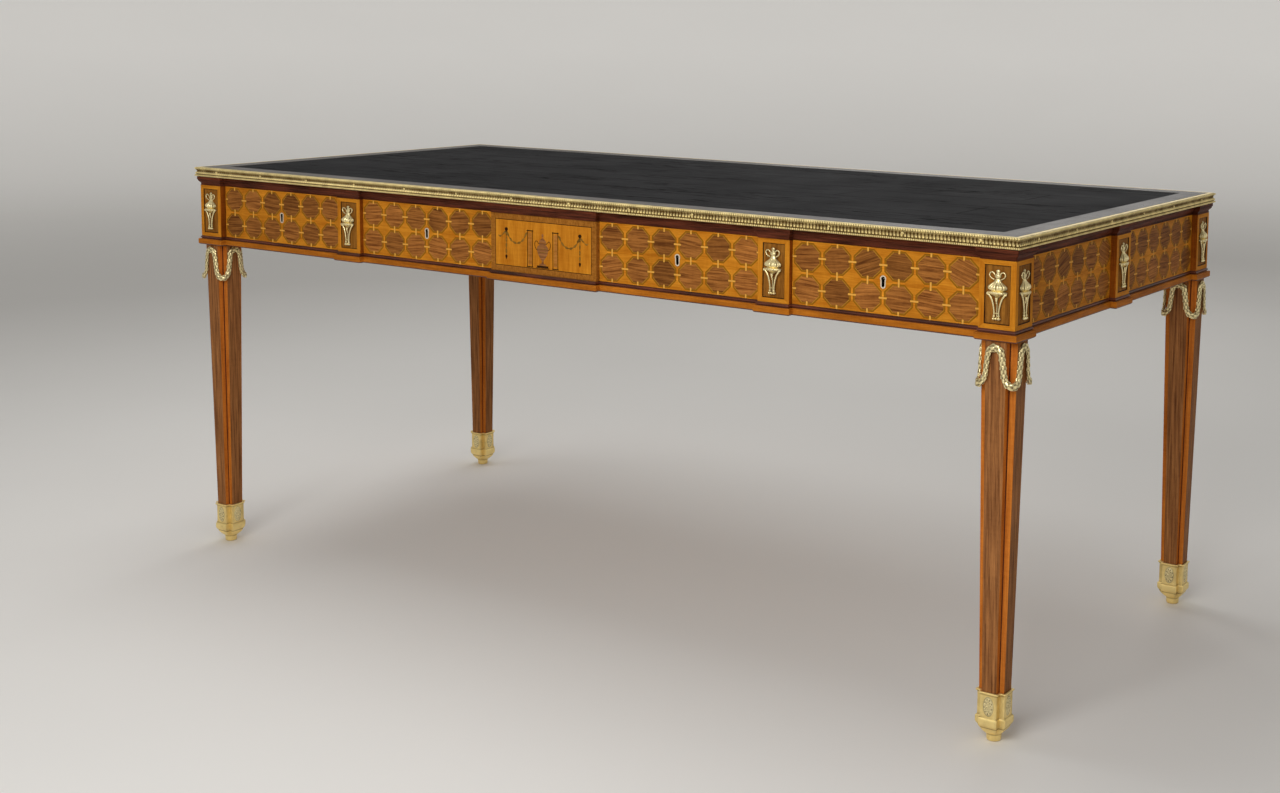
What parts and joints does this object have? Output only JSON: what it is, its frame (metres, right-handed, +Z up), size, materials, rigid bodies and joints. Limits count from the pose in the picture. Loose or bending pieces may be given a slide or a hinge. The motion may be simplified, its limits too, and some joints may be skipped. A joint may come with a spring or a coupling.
{
  "type": "library table",
  "caption": "Long rectangular library table on square tapering legs, with a leather top, frieze drawers that lock, parquetry panels and gilt-bronze mounts.",
  "frame": {"origin": "on the floor under the middle of the table", "axes": "+Z up, +X along the length to the right of someone facing the drawers, -Y towards the front where the drawers pull out"},
  "size_m": [1.83, 0.846, 0.78],
  "materials": {
    "satinwood": "French polished satinwood veneer",
    "parquetry": "French polished parquetry veneer",
    "purpleheart": "polished dark veneer",
    "rosewood": "French polished rosewood veneer with straight grain",
    "border_wood": "polished dark border",
    "oak": "planed, waxed oak",
    "leather": "black writing leather, waxed",
    "gilt_bronze": "chased and gilt, burnished high points",
    "steel": "filed and polished steel",
    "brass": "aged brass"
  },
  "bodies": {
    "table": {"top_board": "border_wood", "leather_panel": "leather", "edge_moulding_front": "gilt_bronze", "edge_moulding_back": "gilt_bronze", "edge_moulding_left": "gilt_bronze", "edge_moulding_right": "gilt_bronze", "cornice_rail_front": "purpleheart", "cornice_rail_back": "purpleheart", "cornice_rail_left": "purpleheart", "cornice_rail_right": "purpleheart", "base_board": "satinwood", "centre_panel": "satinwood", "pilaster_left": "satinwood", "pilaster_right": "satinwood", "corner_block_front_right": "satinwood", "corner_block_back_right": "satinwood", "corner_block_back_left": "satinwood", "corner_block_front_left": "satinwood", "leg_front_right": "rosewood", "leg_back_right": "rosewood", "leg_back_left": "rosewood", "leg_front_left": "rosewood", "shoe_front_right": "gilt_bronze", "shoe_back_right": "gilt_bronze", "shoe_back_left": "gilt_bronze", "shoe_front_left": "gilt_bronze", "garland_front_right": "gilt_bronze", "garland_back_right": "gilt_bronze", "garland_back_left": "gilt_bronze", "garland_front_left": "gilt_bronze", "back_frieze": "parquetry", "end_frieze_left": "parquetry", "end_frieze_right": "parquetry", "drawer_guide_left_end": "oak", "drawer_guide_left": "oak", "drawer_guide_centre": "oak", "drawer_guide_right": "oak", "drawer_guide_right_end": "oak"},
    "drawer_1": {"drawer_front_1": "parquetry", "drawer_box_1": "oak", "drawer_lock_1": "brass", "keyhole_lining_1": "steel"},
    "bolt_1": {"lock_bolt_1": "steel"},
    "drawer_2": {"drawer_front_2": "parquetry", "drawer_box_2": "oak", "drawer_lock_2": "brass", "keyhole_lining_2": "steel"},
    "bolt_2": {"lock_bolt_2": "steel"},
    "drawer_3": {"drawer_front_3": "parquetry", "drawer_box_3": "oak", "drawer_lock_3": "brass", "keyhole_lining_3": "steel"},
    "bolt_3": {"lock_bolt_3": "steel"},
    "drawer_4": {"drawer_front_4": "parquetry", "drawer_box_4": "oak", "drawer_lock_4": "brass", "keyhole_lining_4": "steel"},
    "bolt_4": {"lock_bolt_4": "steel"}
  },
  "joints": [
    {"name": "drawer_slide_1", "type": "slide", "parent": "table", "child": "drawer_1", "axis": [0, -1, 0], "range_m": [0, 0.42]},
    {"name": "bolt_throw_1", "type": "slide", "parent": "drawer_1", "child": "bolt_1", "axis": [0, 0, 1], "range_m": [0, 0.007]},
    {"name": "drawer_slide_2", "type": "slide", "parent": "table", "child": "drawer_2", "axis": [0, -1, 0], "range_m": [0, 0.42]},
    {"name": "bolt_throw_2", "type": "slide", "parent": "drawer_2", "child": "bolt_2", "axis": [0, 0, 1], "range_m": [0, 0.007]},
    {"name": "drawer_slide_3", "type": "slide", "parent": "table", "child": "drawer_3", "axis": [0, -1, 0], "range_m": [0, 0.42]},
    {"name": "bolt_throw_3", "type": "slide", "parent": "drawer_3", "child": "bolt_3", "axis": [0, 0, 1], "range_m": [0, 0.007]},
    {"name": "drawer_slide_4", "type": "slide", "parent": "table", "child": "drawer_4", "axis": [0, -1, 0], "range_m": [0, 0.42]},
    {"name": "bolt_throw_4", "type": "slide", "parent": "drawer_4", "child": "bolt_4", "axis": [0, 0, 1], "range_m": [0, 0.007]}
  ]
}
